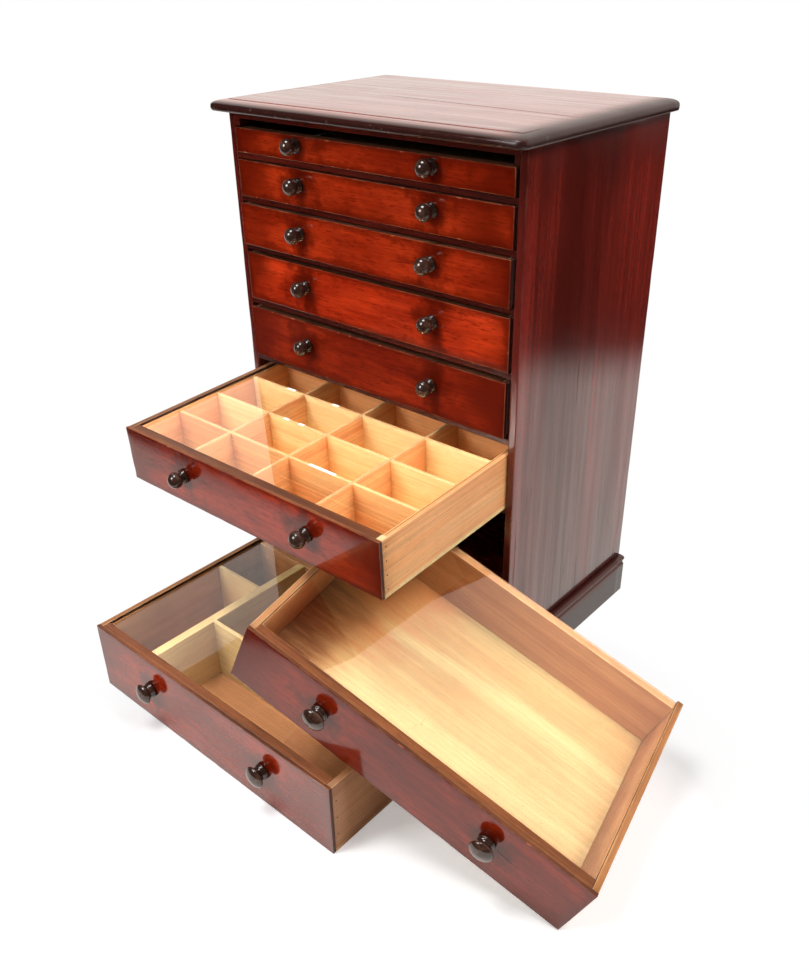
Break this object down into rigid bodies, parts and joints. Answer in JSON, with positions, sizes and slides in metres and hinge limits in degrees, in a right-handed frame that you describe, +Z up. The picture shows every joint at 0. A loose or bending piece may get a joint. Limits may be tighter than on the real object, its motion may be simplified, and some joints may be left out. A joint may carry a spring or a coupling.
{
  "type": "collectors cabinet",
  "caption": "Small wooden collectors cabinet: graduated glass-covered specimen drawers with turned knobs in a plain carcass on a moulded plinth, some drawers drawn or lifted out.",
  "frame": {"origin": "underside of the plinth's front board, in the middle of the cabinet's width, where it meets the floor", "axes": "+Z up, -Y out of the cabinet's front, +X to the right of someone facing the back wall from the front"},
  "size_m": [0.6967, 0.6032, 0.6493],
  "materials": {
    "mahogany": "worn gloss polish",
    "mahogany_dark": "worn gloss polish",
    "pine": "bare, aged",
    "deal": "bare, aged",
    "ebonised_wood": "gloss",
    "glass": "clear"
  },
  "bodies": {
    "carcass": {"top_board": "mahogany_dark", "side_left": "mahogany_dark", "side_right": "mahogany_dark", "back_panel": "pine", "bottom_board": "mahogany_dark", "plinth_front": "mahogany_dark", "plinth_left": "mahogany_dark", "plinth_right": "mahogany_dark", "top_rail": "mahogany_dark", "shelf_1": "mahogany_dark", "shelf_2": "mahogany_dark", "shelf_3": "mahogany_dark", "shelf_4": "mahogany_dark", "shelf_5": "mahogany_dark", "shelf_6": "mahogany_dark", "shelf_7": "mahogany_dark"},
    "drawer_1": {"drawer_1_front": "mahogany", "drawer_1_tray": "pine", "drawer_1_glass": "glass", "drawer_1_knob_left": "ebonised_wood", "drawer_1_knob_right": "ebonised_wood"},
    "drawer_2": {"drawer_2_front": "mahogany", "drawer_2_tray": "pine", "drawer_2_glass": "glass", "drawer_2_knob_left": "ebonised_wood", "drawer_2_knob_right": "ebonised_wood"},
    "drawer_3": {"drawer_3_front": "mahogany", "drawer_3_tray": "pine", "drawer_3_glass": "glass", "drawer_3_knob_left": "ebonised_wood", "drawer_3_knob_right": "ebonised_wood"},
    "drawer_4": {"drawer_4_front": "mahogany", "drawer_4_tray": "pine", "drawer_4_glass": "glass", "drawer_4_knob_left": "ebonised_wood", "drawer_4_knob_right": "ebonised_wood"},
    "drawer_5": {"drawer_5_front": "mahogany", "drawer_5_tray": "pine", "drawer_5_glass": "glass", "drawer_5_knob_left": "ebonised_wood", "drawer_5_knob_right": "ebonised_wood"},
    "drawer_6": {"drawer_6_front": "mahogany", "drawer_6_tray": "pine", "drawer_6_glass": "glass", "drawer_6_knob_left": "ebonised_wood", "drawer_6_knob_right": "ebonised_wood", "drawer_6_crate": "deal"},
    "drawer_7": {"drawer_7_front": "mahogany", "drawer_7_tray": "pine", "drawer_7_glass": "glass", "drawer_7_knob_left": "ebonised_wood", "drawer_7_knob_right": "ebonised_wood"},
    "drawer_8": {"drawer_8_front": "mahogany", "drawer_8_tray": "pine", "drawer_8_glass": "glass", "drawer_8_knob_left": "ebonised_wood", "drawer_8_knob_right": "ebonised_wood", "drawer_8_dividers": "deal"}
  },
  "joints": [
    {"name": "drawer_1_slide", "type": "slide", "parent": "carcass", "child": "drawer_1", "axis": [0, -1, 0], "range_m": [0, 0.222]},
    {"name": "drawer_2_slide", "type": "slide", "parent": "carcass", "child": "drawer_2", "axis": [0, -1, 0], "range_m": [0, 0.222]},
    {"name": "drawer_3_slide", "type": "slide", "parent": "carcass", "child": "drawer_3", "axis": [0, -1, 0], "range_m": [0, 0.222]},
    {"name": "drawer_4_slide", "type": "slide", "parent": "carcass", "child": "drawer_4", "axis": [0, -1, 0], "range_m": [0, 0.222]},
    {"name": "drawer_5_slide", "type": "slide", "parent": "carcass", "child": "drawer_5", "axis": [0, -1, 0], "range_m": [0, 0.222]},
    {"name": "drawer_6_slide", "type": "slide", "parent": "carcass", "child": "drawer_6", "axis": [0.0149, -0.9992, -0.036], "range_m": [-0.2075, 0.03]},
    {"name": "drawer_7_slide", "type": "slide", "parent": "carcass", "child": "drawer_7", "axis": [1, 0, 0], "range_m": [0, 0.25]},
    {"name": "drawer_8_slide", "type": "slide", "parent": "carcass", "child": "drawer_8", "axis": [0, -1, 0], "range_m": [0, 0.25]}
  ]
}
